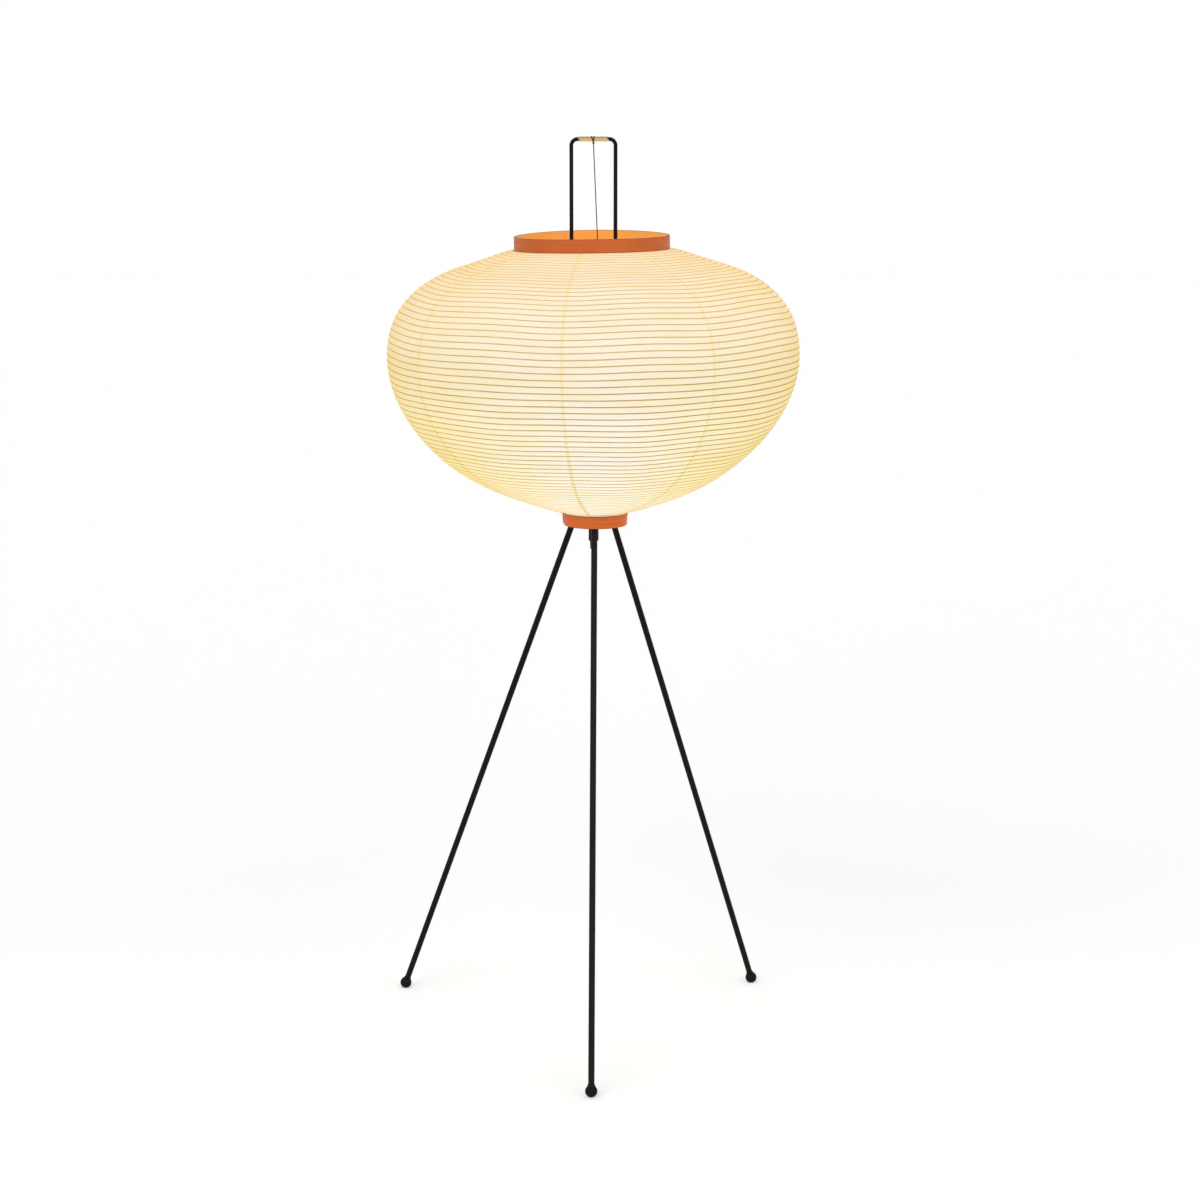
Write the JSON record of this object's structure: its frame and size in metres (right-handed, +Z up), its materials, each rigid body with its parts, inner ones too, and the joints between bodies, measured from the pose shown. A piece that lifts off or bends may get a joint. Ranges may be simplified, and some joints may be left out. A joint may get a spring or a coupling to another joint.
{
  "type": "paper lantern floor lamp",
  "caption": "Floor lamp with a collapsible ribbed paper shade between bentwood rings, stretched on a wire frame with a handle, on thin splayed legs with ball feet.",
  "frame": {"origin": "on the floor under the axis of the shade, which is the middle of the whole lamp's footprint to within 7 mm", "axes": "+Z up along the shade's axis; the front leg points to -Y; +X is to the right of someone facing the front leg"},
  "size_m": [0.5359, 0.5406, 1.181],
  "materials": {
    "black_enamel": "satin black enamel",
    "rubber": "matte black",
    "zinc_plate": "zinc plated",
    "bakelite": "moulded black",
    "porcelain": "white glaze",
    "brass": "plain",
    "frosted_glass": "frosted",
    "cane": "natural cane",
    "spring_wire": "dark drawn wire",
    "lacquered_wood": "terracotta lacquer",
    "bamboo": "split bamboo",
    "shade_paper": "fibrous handmade paper, lets light through"
  },
  "bodies": {
    "stand": {"hub_plate": "black_enamel", "leg_socket_front": "black_enamel", "leg_socket_right": "black_enamel", "leg_socket_left": "black_enamel", "leg_front": "black_enamel", "leg_right": "black_enamel", "leg_left": "black_enamel", "foot_front": "rubber", "foot_right": "rubber", "foot_left": "rubber", "threaded_nipple": "zinc_plate", "nipple_nut_lower": "zinc_plate", "nipple_nut_upper": "zinc_plate", "lock_washer": "zinc_plate", "gland_nut": "bakelite", "cord_gland": "rubber", "holder_cap": "bakelite", "holder_shell": "bakelite", "holder_insulator": "porcelain", "holder_screw_sleeve": "brass", "holder_contact": "brass", "terminal_screws": "zinc_plate", "bulb_glass": "frosted_glass", "bulb_base": "brass", "bulb_insulator": "bakelite", "bulb_contact": "zinc_plate", "frame_socket_left": "black_enamel", "frame_socket_right": "black_enamel", "stretcher_frame": "black_enamel", "cane_wrap": "cane", "lower_ring": "lacquered_wood", "lower_cross_wires": "spring_wire", "bamboo_ribs": "bamboo", "paper_gore_1": "shade_paper", "paper_gore_2": "shade_paper", "paper_gore_3": "shade_paper", "paper_gore_4": "shade_paper", "paper_gore_5": "shade_paper", "paper_gore_6": "shade_paper", "paper_gore_7": "shade_paper", "paper_gore_8": "shade_paper"},
    "upper_ring": {"upper_ring": "lacquered_wood", "upper_cross_wire": "spring_wire"},
    "hanger": {"hanger_wire": "spring_wire"}
  },
  "joints": [
    {"name": "shade_collapse", "type": "slide", "parent": "stand", "child": "upper_ring", "axis": [0, 0, 1], "range_m": [-0.2, 0], "deforming": ["paper_gore_1", "paper_gore_2", "paper_gore_3", "paper_gore_4", "paper_gore_5", "paper_gore_6", "paper_gore_7", "paper_gore_8", "bamboo_ribs"]},
    {"name": "hanger_swing", "type": "hinge", "parent": "stand", "child": "hanger", "pos_m": [0, 0, 1.176], "axis": [1, 0, 0], "range_deg": [-45, 45]}
  ]
}
